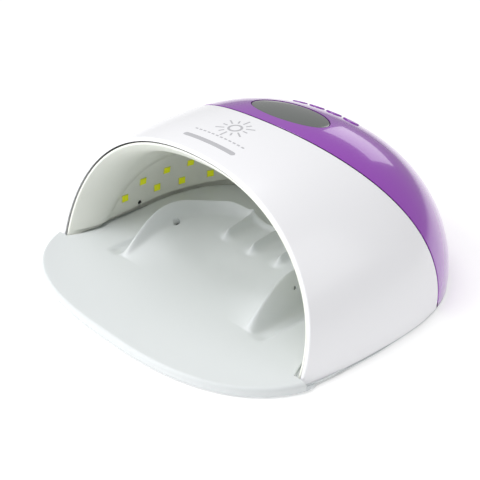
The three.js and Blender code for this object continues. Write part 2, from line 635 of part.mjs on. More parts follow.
function controlPanel() {
  const panel = new THREE.Group();
  panel.matrixAutoUpdate = false;
  panel.matrix.copy(panelMatrix);
  root.add(panel);
  const top = BOARD.thick / 2;
  const holes = BOARD_SCREWS.map(([x, y]) => post(1.5, -3, 3, x, y, 12));
  const capacitors = [-16, 16].map((x) => post(3.2, -top - 4.4, -top + 0.1, x, 4));
  const parts = [box(12, 8, 3, 0, 2, -top - 1.4), box(16, 5, 2, 0, -16, -top - 0.9), ...capacitors];
  add("control_board", without(together(box(BOARD.width, BOARD.length, BOARD.thick), ...parts), ...holes), "board", panel);
  const windowY = new THREE.Vector3(0, WINDOW.y, domeHeight(0, WINDOW.y)).applyMatrix4(panelInverse).y;
  add("lcd_module", box(42, 18, 5, 0, windowY, top + 2.8), "black", panel);
  KEY_X.forEach((x, i) => {
    const body = without(
      box(SWITCH.size, SWITCH.size, SWITCH.height, x, keyY, top + 0.3 + SWITCH.height / 2),
      post(1.9, top + 1.1, 20, x, keyY, 12),
    );
    add(`switch_${i + 1}`, body, "black", panel);
    add(`switch_plunger_${i + 1}`, post(1.5, PLUNGER_TOP - 3.2, PLUNGER_TOP - 0.2, x, keyY, 12), "black", panel);
  });
  BOARD_SCREWS.forEach(([x, y], i) => {
    const screw = together(post(2.4, -top - 2, -top - 0.3, x, y, 12), post(1.1, -top - 0.4, 5, x, y, 12));
    add(`board_screw_${i + 1}`, screw, "steel", panel);
  });
  add("display_window", displayWindow(), "smoked");
  KEY_X.forEach((x, i) => add(`timer_button_${i + 1}`, keyBody(x), "purple"));
}

function electrics() {
  add("led_board_left", ledBoard(-STRIP_END, -STRIP_CORNER), "ledBoard");
  add("led_board_rear", ledBoard(2 - STRIP_CORNER, STRIP_CORNER - 2), "ledBoard");
  add("led_board_right", ledBoard(STRIP_CORNER, STRIP_END), "ledBoard");
  add("ir_emitter", sensorEye(-1), "black");
  add("ir_receiver", sensorEye(1), "black");
  for (const [name, side] of [["left", -1], ["right", 1]]) {
    const ledEnd = wallPoint(LED_STRIP.high, side * arcAt(LED_STRIP.high, 12), LINER_WALL + 1.4);
    const ledRoute = [[27, 45, 71.6], [38, 46, 66], [60, 49, 60], [Math.abs(ledEnd.x) - 2, ledEnd.y, 48],
      [Math.abs(ledEnd.x), ledEnd.y, ledEnd.z + 0.5]];
    add(`led_lead_${name}`, lead(ledRoute.map(([x, y, z]) => [side * x, y, z])), "lead");
    const eye = new THREE.Vector3(0, LINER_WALL + 4.6, 0).applyMatrix4(wallFrame(SENSOR.z, SENSOR.arc));
    const eyeRoute = [[eye.x, eye.y, eye.z], [eye.x + 3, eye.y, 22], [94, -2, 40], [73, 4, 61], [46, 10, 78.5],
      [30, 10.5, 79.6], [20, 14, 79.4], [18, 18, 79.9]];
    add(`sensor_lead_${name}`, lead(eyeRoute.map(([x, y, z]) => [side * x, y, z])), "lead");
  }
  add("dc_lead", lead([[0, 99, 23], [0, 95, 38], [0, 85, 52], [0, 74, 60], [0, 66, 64.3]]), "lead");
  const rear = DOME_Y + REAR_REACH;
  const outward = (y) => new THREE.Matrix4().makeTranslation(0, y, JACK.z);
  const barrel = solid(new THREE.CylinderGeometry(JACK.radius, JACK.radius, 6, 24), outward(rear - 3.6));
  const socket = solid(new THREE.CylinderGeometry(3.2, 3.2, 9, 20), outward(rear - 4));
  const pin = solid(new THREE.CylinderGeometry(1, 1, 9, 12), outward(rear - 5.5));
  add("dc_jack", together(without(together(barrel, box(13, 11, 11, 0, rear - 11, JACK.z)), socket), pin), "black");
}

housing();
base();
controlPanel();
electrics();

export default root;
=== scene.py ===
"""Looks for the UV nail-curing lamp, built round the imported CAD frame.

Lengths are in millimetres until a mesh is made.
"""

import json
import math

import bmesh
import bpy
import numpy as np
from mathutils import Matrix, Vector


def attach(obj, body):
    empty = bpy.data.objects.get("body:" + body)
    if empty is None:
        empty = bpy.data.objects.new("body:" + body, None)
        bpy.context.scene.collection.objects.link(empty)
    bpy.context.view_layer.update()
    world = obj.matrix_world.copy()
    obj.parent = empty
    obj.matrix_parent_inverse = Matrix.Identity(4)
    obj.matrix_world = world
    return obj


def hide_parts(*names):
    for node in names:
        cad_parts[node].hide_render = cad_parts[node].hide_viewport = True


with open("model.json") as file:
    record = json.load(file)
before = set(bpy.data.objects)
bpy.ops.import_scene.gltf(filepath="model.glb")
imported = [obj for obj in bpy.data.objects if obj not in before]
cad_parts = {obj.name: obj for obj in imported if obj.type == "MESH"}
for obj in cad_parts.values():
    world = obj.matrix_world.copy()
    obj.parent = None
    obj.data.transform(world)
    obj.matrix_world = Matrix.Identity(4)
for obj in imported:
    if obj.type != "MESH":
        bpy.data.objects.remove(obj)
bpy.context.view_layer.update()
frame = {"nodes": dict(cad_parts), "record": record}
NODES = frame["nodes"]

# ---- Driving dimensions, as in the CAD ----
HALF_WIDTH, DOME_Y, REAR_REACH, FRONT_REACH = 110.0, 9.0, 102.0, 188.0
REAR_POWER, FRONT_POWER = 2.23, 2.1
DOME_TOP, CROWN_POWER, WALL_POWER = 92.4, 2.33, 1.91
TRAY_Y, TRAY_REACH, TRAY_POWER = -35.0, 76.0, 2.57
SHELL_FOOT, SHELL_WALL, GAP, JOINT = 4.6, 2.0, 0.35, 1.6
LINER_WALL, LINER_INSET, LINER_HALF, LINER_REAR = 1.5, 4.0, 91.0, 82.0
LINER_SINK, LINER_PLAN_POWER, LINER_ROOF_POWER, FLARE = 0.15, 3.5, 3.0, 0.2
SIDE_POWER, ROOF_POWER = 2.4, 2.6
BAND_TOP, BAND_FALL, BAND_DEPTH, BAND_ROLL = 40.3, 0.0168, 3.0, 8.0
BASE_BOTTOM, TRAY_LEVEL = 1.0, 6.2
RING_LEVEL = SHELL_FOOT - GAP
SKIRT_LOW, FLANGE_LEVEL, FLANGE_WIDE = 1.9, 1.6, 2.6
SIDE_LEDS = ((-22.3, 18), (3.1, 17.4), (22.3, 16.8), (42.7, 17.2), (-8.5, 26), (9.8, 28.6), (27.5, 29.4))
REAR_LED_STEP, REAR_LED_LOW, REAR_LED_HIGH = 23, 17, 29
REAR_LEDS = (
    *((REAR_LED_STEP * k, REAR_LED_LOW) for k in (-2, -1, 0, 1, 2)),
    *((REAR_LED_STEP * k, REAR_LED_HIGH) for k in (-1.5, -0.5, 0.5, 1.5)),
)
SENSOR_Y, SENSOR_Z = -10.6, 10.7
WINDOW_Y, WINDOW_HALF_X, WINDOW_HALF_Y = 30.0, 27.5, 15.0
KEY_PITCH, KEY_Y, KEY_HALF_X, KEY_HALF_Y, KEY_PROUD = 13.6, 61.0, 5.6, 3.6, 0.8
EYE_X, EYE_Y, EYE_HALF_WIDTH, EYE_STRAIGHT = 48.2, -17.4, 1.4, 1.1
CREST_HALF, CREST_Y, CREST_REAR, CREST_POWER = 52.5, -25.0, 50.0, 2.6
RIDGE_START, RIDGE_RISE, RIDGE_HEIGHT, RIDGE_OUTER = -56, 34, 22, 3.4
THUMB_AWAY, THUMB_WIDTH, THUMB_DEPTH = 8.5, 5, 2.2
BARS_X, BAR_HEIGHT, BAR_ROUND, BAR_FADE = (-22, 0, 22), 5.4, 0.5, 2.0
FLOOR_CLIMB, FLOOR_DROP, PALM_DEPTH = 2.8, 2.2, 1.5
PANEL_Y, PANEL_Z, PANEL_TILT = 42, 74.4, -18
THUMB_HOLE, THUMB_HOLE_RADIUS, THUMB_HOLE_TILT = (55.6, -21.3, 18.7), 1.1, 70
SEAM_GAP, SEAM_ROUND, MOUTH_BACK, MOUTH_BLEND = 0.75, 0.45, 1.1, 0.08
GROOVE_DEPTH, GROOVE_CLEAR = 3.0, 1.5
INLET_Z, INLET_RADIUS = 17, 5.55
VENT_FIRST, VENT_STEP, VENT_COUNT, VENT_Z = 20, 5, 5, 15
MARK_Y, DASHES_Y, BAR_Y = -12.0, -24.95, -33.0

# ---- Camera and light ----
CAMERA_TURN, CAMERA_RISE, CAMERA_AWAY = 46.19, 30.03, 575.99
CAMERA_TARGET = (-4.89, -5.09, 17.08)
CAMERA_LENS = 72.81


# ---- Materials ----
def material(name, color, roughness, **more):
    """A Principled material with a faint procedural unevenness in its roughness."""
    made = bpy.data.materials.new(name)
    made.use_nodes = True
    tree = made.node_tree
    shader = tree.nodes["Principled BSDF"]
    shader.inputs["Base Color"].default_value = (*color, 1)
    for socket, value in more.items():
        shader.inputs[socket.replace("_", " ")].default_value = value
    noise = tree.nodes.new("ShaderNodeTexNoise")
    noise.inputs["Scale"].default_value = 220
    noise.inputs["Detail"].default_value = 2
    place = tree.nodes.new("ShaderNodeTexCoord")
    spread = tree.nodes.new("ShaderNodeMapRange")
    spread.inputs["To Min"].default_value = roughness * 0.94
    spread.inputs["To Max"].default_value = roughness * 1.06
    tree.links.new(place.outputs["Object"], noise.inputs["Vector"])
    tree.links.new(noise.outputs["Fac"], spread.inputs["Value"])
    tree.links.new(spread.outputs["Result"], shader.inputs["Roughness"])
    return made


def linear(r, g, b):
    """A colour given as 0-255 sRGB values."""
    return tuple(((v / 255 + 0.055) / 1.055) ** 2.4 if v > 10 else v / 255 / 12.92 for v in (r, g, b))


PEARL = material("pearl", linear(243, 243, 246), 0.34, Coat_Weight=0.35, Coat_Roughness=0.16)
PURPLE = material("purple", linear(150, 62, 184), 0.22, Coat_Weight=1.0, Coat_Roughness=0.03, Coat_IOR=1.6)
LINER = material("liner", linear(244, 246, 238), 0.4)
TRAY = material("tray", linear(218, 222, 223), 0.42)
SMOKED = material("smoked", linear(92, 97, 94), 0.12, Coat_Weight=1.0, Coat_Roughness=0.04)
RUBBER = material("rubber", (0.045, 0.045, 0.05), 0.8)
STEEL = material("steel", (0.55, 0.55, 0.57), 0.35, Metallic=1.0)
BOARD = material("board", (0.02, 0.13, 0.06), 0.45)
STRIP = material("strip", (0.75, 0.76, 0.72), 0.45)
BLACK = material("black", (0.02, 0.02, 0.022), 0.4)
LEAD = material("lead", (0.3, 0.03, 0.03), 0.5)
PHOSPHOR = material("phosphor", linear(214, 220, 20), 0.35,
                    Emission_Color=(*linear(200, 210, 20), 1), Emission_Strength=0.28)
CREAM = material("cream", linear(214, 216, 150), 0.4)
PRINT = material("print", linear(186, 186, 190), 0.5)
SLOT_MATERIALS = {
    "pearl_shell": PEARL, "purple_cover": PURPLE, "liner_white": LINER, "tray_white": TRAY,
    "smoked_window": SMOKED, "rubber_foot": RUBBER, "steel": STEEL, "green_board": BOARD,
    "led_strip": STRIP, "black_plastic": BLACK, "lead_jacket": LEAD,
}


# ---- Meshes ----
def mesh_object(name, points, faces, look, slot, body="lamp", replaces=()):
    """A piece from points in millimetres."""
    mesh = bpy.data.meshes.new(name)
    mesh.from_pydata([tuple(p) for p in np.asarray(points) / 1000], [], faces)
    mesh.validate()
    piece = bpy.data.objects.new(name, mesh)
    bpy.context.scene.collection.objects.link(piece)
    work = bmesh.new()
    work.from_mesh(mesh)
    bmesh.ops.remove_doubles(work, verts=work.verts, dist=2e-6)
    bmesh.ops.dissolve_degenerate(work, edges=work.edges, dist=1e-6)
    holes = [edge for edge in work.edges if edge.is_boundary]
    if holes:
        bmesh.ops.holes_fill(work, edges=holes, sides=0)
    bmesh.ops.recalc_face_normals(work, faces=work.faces)
    work.to_mesh(mesh)
    work.free()
    mesh.materials.append(look)
    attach(piece, body)
    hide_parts(*replaces)
    return piece


def grid_faces(rows, columns, start=0, flip=False, wrap_columns=False, wrap_rows=False):
    """Quads over a rows x columns block of points."""
    faces = []
    for i in range(rows if wrap_rows else rows - 1):
        for j in range(columns if wrap_columns else columns - 1):
            a = start + i * columns + j
            b = start + i * columns + (j + 1) % columns
            c = start + (i + 1) % rows * columns + (j + 1) % columns
            d = start + (i + 1) % rows * columns + j
            faces.append((a, d, c, b) if flip else (a, b, c, d))
    return faces


def loop_solid(name, loops, *rest, **more):
    """A solid with capped ends from closed cross-section loops: loops[i][j] is row i, column j."""
    loops = np.asarray(loops)
    faces = grid_faces(*loops.shape[:2], wrap_rows=True)
    return mesh_object(name, loops.reshape(-1, 3), faces, *rest, **more)


def disc_solid(name, rings, centre_top, centre_bottom, *rest, **more):
    """A solid from closed rings, from the middle of the top over the edge to the middle of the bottom."""
    rings = np.asarray(rings)
    rows, columns = rings.shape[:2]
    faces = grid_faces(rows, columns, wrap_columns=True)
    points = np.vstack([rings.reshape(-1, 3), [centre_top], [centre_bottom]])
    top, bottom = rows * columns, rows * columns + 1
    faces += [(top, (j + 1) % columns, j) for j in range(columns)]
    end = (rows - 1) * columns
    faces += [(bottom, end + j, end + (j + 1) % columns) for j in range(columns)]
    return mesh_object(name, points, faces, *rest, **more)


def smooth_shade(piece, angle=32.0):
    """Smooth shading with sharp edges over an angle."""
    mesh = piece.data
    mesh.polygons.foreach_set("use_smooth", [True] * len(mesh.polygons))
    mesh.set_sharp_from_angle(angle=math.radians(angle))
    return piece


def cut(piece, *cutters):
    """Takes closed cutters out of a piece."""
    for cutter in cutters:
        modifier = piece.modifiers.new("cut", "BOOLEAN")
        modifier.operation = "DIFFERENCE"
        modifier.solver = "EXACT"
        modifier.object = cutter
    bpy.context.view_layer.update()
    result = bpy.data.meshes.new_from_object(piece.evaluated_get(bpy.context.evaluated_depsgraph_get()))
    piece.modifiers.clear()
    old = piece.data
    piece.data = result
    bpy.data.meshes.remove(old)
    for cutter in cutters:
        bpy.data.objects.remove(cutter)
    return piece


def cutter_of(points, faces):
    mesh = bpy.data.meshes.new("cutter")
    mesh.from_pydata([tuple(p) for p in np.asarray(points) / 1000], [], faces)
    piece = bpy.data.objects.new("cutter", mesh)
    bpy.context.scene.collection.objects.link(piece)
    work = bmesh.new()
    work.from_mesh(mesh)
    bmesh.ops.recalc_face_normals(work, faces=work.faces)
    work.to_mesh(mesh)
    work.free()
    return piece


def tube_cutter(low, high):
    """A closed cutter between two rings that have the same number of points."""
    count = len(low)
    faces = [(j, (j + 1) % count, count + (j + 1) % count, count + j) for j in range(count)]
    ends = [list(range(count))[::-1], list(range(count, 2 * count))]
    return cutter_of([*low, *high], [*faces, *ends])


def prism(outline, low, high):
    """A cutter along Z from a closed outline."""
    return tube_cutter([(*p, low) for p in outline], [(*p, high) for p in outline])


def oval(half_x, half_y, x=0.0, y=0.0, count=96):
    turn = np.linspace(0, 2 * np.pi, count, endpoint=False)
    return [(x + half_x * math.cos(a), y + half_y * math.sin(a)) for a in turn]


def slot_outline(x, y, half_width, straight, count=24):
    """A slot with round ends, and straight sides that reach a given distance either way of its middle."""
    turn = np.linspace(0, 2 * math.pi, count, endpoint=False)
    ends = [straight if math.sin(a) > 0 else -straight for a in turn]
    return [(x + half_width * math.cos(a), y + end + half_width * math.sin(a)) for a, end in zip(turn, ends)]


def turned_oval(matrix, half_x, half_y, x, y, low, high, count):
    """An oval cutter along the matrix's Z."""
    outline = oval(half_x, half_y, x, y, count)
    return tube_cutter(*[[tuple(matrix @ Vector((*p, z))) for p in outline] for z in (low, high)])


def rod(matrix, radius, low, high, count=32):
    """A round cutter along the matrix's Z."""
    return turned_oval(matrix, radius, radius, 0, 0, low, high, count)


# ---- The dome ----
def smoothstep(value):
    value = np.clip(value, 0, 1)
    return value * value * (3 - 2 * value)


def dome_spread(x, y, inset=0.0):
    dy = y - DOME_Y
    reach = np.where(dy > 0, REAR_REACH, FRONT_REACH) - inset
    power = np.where(dy > 0, REAR_POWER, FRONT_POWER)
    return (np.abs(x / (HALF_WIDTH - inset)) ** power + np.abs(dy / reach) ** power) ** (1 / power)


def dome_height(x, y, inset=0.0):
    rise = (1 - np.clip(dome_spread(x, y, inset), 0, 1) ** CROWN_POWER) ** (1 / WALL_POWER)
    return SHELL_FOOT + (DOME_TOP - inset - SHELL_FOOT) * rise


def dome_x(y, z, inset=0.0):
    rise = np.clip((z - SHELL_FOOT) / (DOME_TOP - inset - SHELL_FOOT), 0, 1)
    spread = (1 - rise ** WALL_POWER) ** (1 / CROWN_POWER)
    dy = y - DOME_Y
    reach = np.where(dy > 0, REAR_REACH, FRONT_REACH) - inset
    power = np.where(dy > 0, REAR_POWER, FRONT_POWER)
    return (HALF_WIDTH - inset) * np.maximum(0, spread ** power - np.abs(dy / reach) ** power) ** (1 / power)


def dome_normal(x, y, z):
    """The outward direction of the dome's surface."""
    step = 0.02

    def level(a, b, c):
        rise = np.clip((c - SHELL_FOOT) / (DOME_TOP - SHELL_FOOT), 0, 2)
        return dome_spread(a, b) ** CROWN_POWER + rise ** WALL_POWER

    slope = np.stack([
        level(x + step, y, z) - level(x - step, y, z),
        level(x, y + step, z) - level(x, y - step, z),
        level(x, y, z + step) - level(x, y, z - step),
    ], -1)
    return slope / np.maximum(1e-12, np.linalg.norm(slope, axis=-1, keepdims=True))


def arch_y(z):
    return -66.8 + 31.7 * (z / DOME_TOP) - 9.6 * (z / DOME_TOP) ** 2


def seam_y(z):
    return 39.4 + 12.5 * (z / DOME_TOP) - 46 * (z / DOME_TOP) ** 2


def sheet_curve(sheet, inset, half):
    """Where a leaning sheet meets the dome, from the left foot over the crown to the right foot."""
    low, high = SHELL_FOOT, DOME_TOP
    for _ in range(50):
        middle = (low + high) / 2
        if dome_height(0.0, sheet(middle), inset) > middle:
            low = middle
        else:
            high = middle
    u = np.linspace(0, 1, half + 1)
    z = SHELL_FOOT + (low - SHELL_FOOT) * np.sin(u * np.pi / 2)
    x = dome_x(sheet(z), z, inset)
    x[-1] = 0
    left = np.stack([-x, sheet(z), z], -1)
    right = left[:-1][::-1] * (-1, 1, 1)
    return np.vstack([left, right])


def skirted(sheet, inset, half):
    """The same curve with both ends carried straight down, outside the edge of the hand rest."""
    curve = sheet_curve(sheet, inset, half)
    low = [(sign * curve[-1, 0], sheet(SKIRT_LOW), SKIRT_LOW) for sign in (-1, 1)]
    return np.vstack([low[:1], curve, low[1:]])


def edge_round(radius, count=6):
    """Offsets along and across an edge's quarter round, from its face to its side."""
    turn = np.linspace(0, math.pi / 2, count)
    return [(radius * (1 - math.cos(a)), radius * (1 - math.sin(a))) for a in turn]


def exact_normals(piece):
    """Gives the corners on the dome's outer face the dome's own normals, so that the gloss has no facets."""
    smooth_shade(piece, 30)
    mesh = piece.data
    count = len(mesh.loops)
    corner = np.zeros(count * 3, np.float32)
    mesh.corner_normals.foreach_get("vector", corner)
    corner = corner.reshape(-1, 3)
    which = np.zeros(count, np.int32)
    mesh.loops.foreach_get("vertex_index", which)
    places = np.zeros(len(mesh.vertices) * 3, np.float32)
    mesh.vertices.foreach_get("co", places)
    at = places.reshape(-1, 3)[which].astype(float) * 1000
    off = np.abs(at[:, 2] - dome_height(at[:, 0], at[:, 1]))
    aside = np.abs(np.abs(at[:, 0]) - dome_x(at[:, 1], at[:, 2]))
    normal = dome_normal(at[:, 0], at[:, 1], at[:, 2])
    on = (np.minimum(off, aside) < 0.03) & ((normal * corner).sum(1) > 0.93)
    corner[on] = normal[on]
    mesh.normals_split_custom_set([tuple(n) for n in corner])
    return piece


def front_shell():
    """The pearl shell between the arch and the seam, with its foot carried down as a skirt."""
    half = 72
    along = np.linspace(0, 1, 42)
    rows = []

    def row(share, step, inset):
        rows.append(skirted(lambda z: arch_y(z) + (seam_y(z) - arch_y(z)) * share + step, inset, half))

    for step, inset in edge_round(0.85):
        row(0, step, inset)
    for share in along[1:-1]:
        row(share, 0, 0)
    for step, inset in edge_round(SEAM_ROUND, 5)[::-1]:
        row(1, -step, inset)
    for step, inset in edge_round(0.3, 3):
        row(1, -step, SHELL_WALL - inset)
    for share in along[1:-1][::-1]:
        row(share, 0, SHELL_WALL)
    for step, inset in edge_round(0.3, 3)[::-1]:
        row(0, step, SHELL_WALL - inset)
    shell = loop_solid("shell_front", rows, PEARL, "pearl_shell", replaces=["front_shell"])
    return exact_normals(shell)


def rear_outline(start_y, inset, count):
    reach = REAR_REACH - inset
    start = math.asin(np.clip((start_y - DOME_Y) / reach, 0, 1) ** (REAR_POWER / 2))
    angle = np.linspace(math.pi - start, start, count)
    c = np.cos(angle)
    return np.stack([
        np.sign(c) * (HALF_WIDTH - inset) * np.abs(c) ** (2 / REAR_POWER),
        DOME_Y + reach * np.sin(angle) ** (2 / REAR_POWER),
    ], -1)


def rear_rows(inset, shares, half, step=0.0):
    """Rows of the rear cover's surface, from the seam to its foot."""
    seam = sheet_curve(lambda z: seam_y(z) + SEAM_GAP + step, inset, half)
    outline = rear_outline(seam[0, 1], inset, 2 * half + 1)
    rows = []
    for w in shares:
        v = 1 - (1 - w) ** 2
        xy = seam[:, :2] * (1 - v) + outline * v
        z = dome_height(xy[:, 0], xy[:, 1], inset)
        if w == 0:
            z = seam[:, 2]
        if w == 1:
            z = np.full(len(xy), SHELL_FOOT)
        rows.append(np.column_stack([xy, z]))
    if 1 in shares:
        skirt = np.column_stack([outline, np.full(len(outline), SKIRT_LOW)])
        rows.insert(len(rows) if shares[-1] == 1 else 0, skirt)
    return rows


def panel_matrix():
    """The control panel's own frame, with Z square to the circuit board."""
    return Matrix.Translation((0, PANEL_Y, PANEL_Z)) @ Matrix.Rotation(math.radians(PANEL_TILT), 4, "X")


def key_height():
    """The panel coordinate along Y of the row of keys."""
    return (panel_matrix().inverted() @ Vector((0, KEY_Y, float(dome_height(0.0, KEY_Y))))).y


def rear_cover():
    """The purple cover, with its window, keys, inlet and vents cut out."""
    half = 72
    shares = np.linspace(0, 1, 96)
    rows = [rear_rows(inset, [0], half, step)[0] for step, inset in edge_round(SEAM_ROUND, 5)]
    rows += rear_rows(0, shares[1:], half, SEAM_ROUND)
    rows += rear_rows(SHELL_WALL, shares[::-1], half, SEAM_ROUND)
    cover = loop_solid("cover_rear", rows, PURPLE, "purple_cover", replaces=["rear_cover"])
    cuts = [prism(oval(WINDOW_HALF_X + 0.45, WINDOW_HALF_Y + 0.45, 0, WINDOW_Y), 60, 120)]
    for step in (-1.5, -0.5, 0.5, 1.5):
        size = (KEY_HALF_X + GAP, KEY_HALF_Y + GAP)
        cuts.append(turned_oval(panel_matrix(), *size, step * KEY_PITCH, key_height(), -5, 24, 72))
    inlet = Matrix.Translation((0, DOME_Y + REAR_REACH, INLET_Z)) @ Matrix.Rotation(math.pi / 2, 4, "X")
    cuts.append(rod(inlet, INLET_RADIUS, -12, 12, 48))
    for side in (-1, 1):
        for i in range(VENT_COUNT):
            outline = slot_outline(side * (VENT_FIRST + i * VENT_STEP), VENT_Z, 1, 4)
            cuts.append(tube_cutter(*[[(x, y, z) for x, z in outline] for y in (70, 130)]))
    return exact_normals(cut(cover, *cuts))


# ---- The hand cavity ----
LIP = sheet_curve(arch_y, LINER_INSET, 1)
LIP_TOP, MOUTH_HALF = float(LIP[1, 2]), float(LIP[2, 0])


def band_top(y):
    return BAND_TOP - BAND_FALL * np.minimum(0, y - DOME_Y) ** 2


def band_depth_at(y, z):
    """How far below the LED band's top edge a place is, negative above it."""
    slope = 2 * BAND_FALL * np.minimum(0, y - DOME_Y)
    return (band_top(y) - z) / np.hypot(1, slope)


def cavity_point(depth, side, sign, grow=0.0):
    depth, side = np.broadcast_arrays(np.asarray(depth, float), np.asarray(side, float))
    flare = 1 - np.maximum(0, 1 - depth / FLARE) ** 2
    deep = np.minimum(1, depth)
    plan = (1 - deep ** LINER_PLAN_POWER) ** (1 / LINER_PLAN_POWER)
    roof = (1 - deep ** LINER_ROOF_POWER) ** (1 / LINER_ROOF_POWER)
    half = (MOUTH_HALF * (1 - flare) + LINER_HALF * flare) * plan + grow
    rise = (LIP_TOP - SHELL_FOOT) * (1 - LINER_SINK * flare) * roof + grow
    high = np.sin(side * np.pi / 2)
    lip_z = SHELL_FOOT + (LIP_TOP - SHELL_FOOT) * high
    lip_x = np.where(side >= 1, 0, dome_x(arch_y(lip_z), lip_z, LINER_INSET) / MOUTH_HALF)
    box_x = np.where(side >= 1, 0, np.maximum(0, 1 - high ** ROOF_POWER) ** (1 / SIDE_POWER))
    y = arch_y(lip_z) * (1 - depth) + (LINER_REAR + grow) * depth
    z = SHELL_FOOT + rise * high
    x = half * (lip_x * (1 - flare) + box_x * flare)
    recess = BAND_DEPTH * np.clip(band_depth_at(y, z) / BAND_ROLL + 1, 0, 1) ** 2
    x = x + recess * np.clip(x / 12, 0, 1) * (1 - deep ** 8)
    return np.stack([sign * x, y, z], -1)


def wall_at(z, grow=0.0, steps=400):
    """The cavity wall at one height, from the mouth on the left round the rear to the mouth on the right."""
    left = []
    for i in range(steps + 1):
        depth = 1 - (1 - i / steps) ** 2
        flare = 1 - max(0, 1 - depth / FLARE) ** 2
        roof = (1 - depth ** LINER_ROOF_POWER) ** (1 / LINER_ROOF_POWER)
        rise = (LIP_TOP - SHELL_FOOT) * (1 - LINER_SINK * flare) * roof + grow
        high = (z - SHELL_FOOT) / rise if rise > 0 else 2
        if high > 1:
            left.append((0.0, left[-1][1] + 0.2, z))
            break
        left.append(tuple(cavity_point(depth, math.asin(high) / (math.pi / 2), -1, grow)))
    return np.array([*left, *[(-x, y, h) for x, y, h in left[:-1][::-1]]])


def wall_point(z, arc):
    """A point of the wall at one height, at an arc distance from the rear middle."""
    curve = wall_at(z)
    lengths = np.concatenate([[0], np.cumsum(np.linalg.norm(np.diff(curve, axis=0), axis=1))])
    target = lengths[-1] / 2 + arc
    return Vector([float(np.interp(target, lengths, curve[:, k])) for k in range(3)])


def arc_at(z, y):
    """The arc distance from the rear middle at which the right-hand wall reaches a place along Y."""
    curve = wall_at(z)
    middle = (len(curve) - 1) // 2
    right = curve[middle:]
    lengths = np.concatenate([[0], np.cumsum(np.linalg.norm(np.diff(right, axis=0), axis=1))])
    i = int(np.argmax(right[:, 1] < y))
    share = (right[i - 1, 1] - y) / (right[i - 1, 1] - right[i, 1])
    return float(lengths[i - 1] + (lengths[i] - lengths[i - 1]) * share)


def wall_frame(z, arc):
    """A frame on the wall: X along it, Y out of the cavity, Z up it."""
    along = (wall_point(z, arc + 2.5) - wall_point(z, arc - 2.5)).normalized()
    climb = wall_point(z + 2, arc) - wall_point(z - 2, arc)
    out = climb.cross(along).normalized()
    up = along.cross(out)
    turned = Matrix((along, out, up)).transposed().to_4x4()
    return Matrix.Translation(wall_point(z, arc)) @ turned


LEDS = [(z, arc) for arc, z in REAR_LEDS]
LEDS += [(z, side * arc_at(z, y)) for side in (-1, 1) for y, z in SIDE_LEDS]


def cavity_row(depth, grow, sides):
    """A row of the liner, with a shadow groove along the edge of the hand rest."""
    x, y, z = cavity_point(depth, sides, -1, grow).T
    level = TRAY_LEVEL + floor_climb(y) + GROOVE_CLEAR
    ends = smoothstep((y + 62) / 12) * smoothstep((-x - 12) / 12)
    groove = GROOVE_DEPTH * np.clip((level - z) / 0.3, 0, 1) * ends
    shift = (0, MOUTH_BACK * max(0, 1 - depth / MOUTH_BLEND), 0)
    left = cavity_point(depth, sides, -1, grow + groove) + shift
    right = left[:-1][::-1] * (-1, 1, 1)
    return np.vstack([left, right])


def inner_liner():
    """The moulding that lines the hand cavity, with a round sensor hole either side."""
    stretches = ((0, 0.08, 28), (0.08, 0.5, 50), (0.5, 1, 36))
    sides = np.concatenate([[0], *[np.linspace(*stretch)[1:] for stretch in stretches]])
    depths = (1 - (1 - np.linspace(0, 1, 170)) ** 1.7) ** 1.25
    length = LINER_REAR - arch_y(SHELL_FOOT)
    rows = []
    for step, across in edge_round(0.7):
        rows.append(cavity_row(step / length, across, sides))
    rows += [cavity_row(d, 0, sides) for d in depths[1:] if d > 1.2 / length]
    rows += [cavity_row(d, LINER_WALL, sides) for d in depths[::-3] if d > 1.2 / length]
    for step, across in edge_round(0.7)[::-1]:
        rows.append(cavity_row(step / length, LINER_WALL - across, sides))
    liner = loop_solid("liner", rows, LINER, "liner_white", replaces=["inner_liner"])
    eyes = []
    for side in (-1, 1):
        at = wall_frame(SENSOR_Z, side * arc_at(SENSOR_Z, SENSOR_Y))
        eyes.append(rod(at @ Matrix.Rotation(math.pi / 2, 4, "X"), 1.55, -4, 4, 36))
    return smooth_shade(cut(liner, *eyes), 28)


def led_chips():
    """Square LED packages that stand 0.75 mm out of the wall: a cream frame round a yellow-green lens."""
    for side, name in ((-1, "left"), (0, "rear"), (1, "right")):
        frames, lenses = bmesh.new(), bmesh.new()
        for z, arc in LEDS:
            if (abs(arc) < 60) != (side == 0) or arc * side < 0:
                continue
            at = wall_frame(z, arc)
            for work, size, low, high in ((frames, 5.2, -2.0, 0.45), (lenses, 4.5, -0.3, 0.75)):
                made = bmesh.ops.create_cube(work, size=1.0)["verts"]
                middle = Matrix.Translation((0, -(low + high) / 2, 0))
                shape = at @ middle @ Matrix.Diagonal((size, high - low, size, 1))
                bmesh.ops.transform(work, matrix=Matrix.Scale(0.001, 4) @ shape, verts=made)
        for work, kind, look in ((frames, "frames", CREAM), (lenses, "lenses", PHOSPHOR)):
            bmesh.ops.bevel(work, geom=work.edges[:], offset=0.0002, segments=2, affect="EDGES")
            bmesh.ops.recalc_face_normals(work, faces=work.faces)
            mesh = bpy.data.meshes.new(f"led_{kind}_{name}")
            work.to_mesh(mesh)
            work.free()
            mesh.materials.append(look)
            piece = bpy.data.objects.new(f"led_{kind}_{name}", mesh)
            bpy.context.scene.collection.objects.link(piece)
            smooth_shade(piece, 40)
            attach(piece, "lamp")
            if kind == "frames":
                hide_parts(f"led_board_{name}")


# ---- The hand rest ----
def crest_offset(x, y):
    """How far outside the crest of the horseshoe ridge a place is, negative inside it."""
    back = np.maximum(0, y - CREST_Y) / CREST_REAR
    spread = (np.abs(x / CREST_HALF) ** CREST_POWER + back ** CREST_POWER) ** (1 / CREST_POWER)
    return (spread - 1) * CREST_HALF


def floor_climb(y):
    return FLOOR_CLIMB * smoothstep((y + 30) / 45)


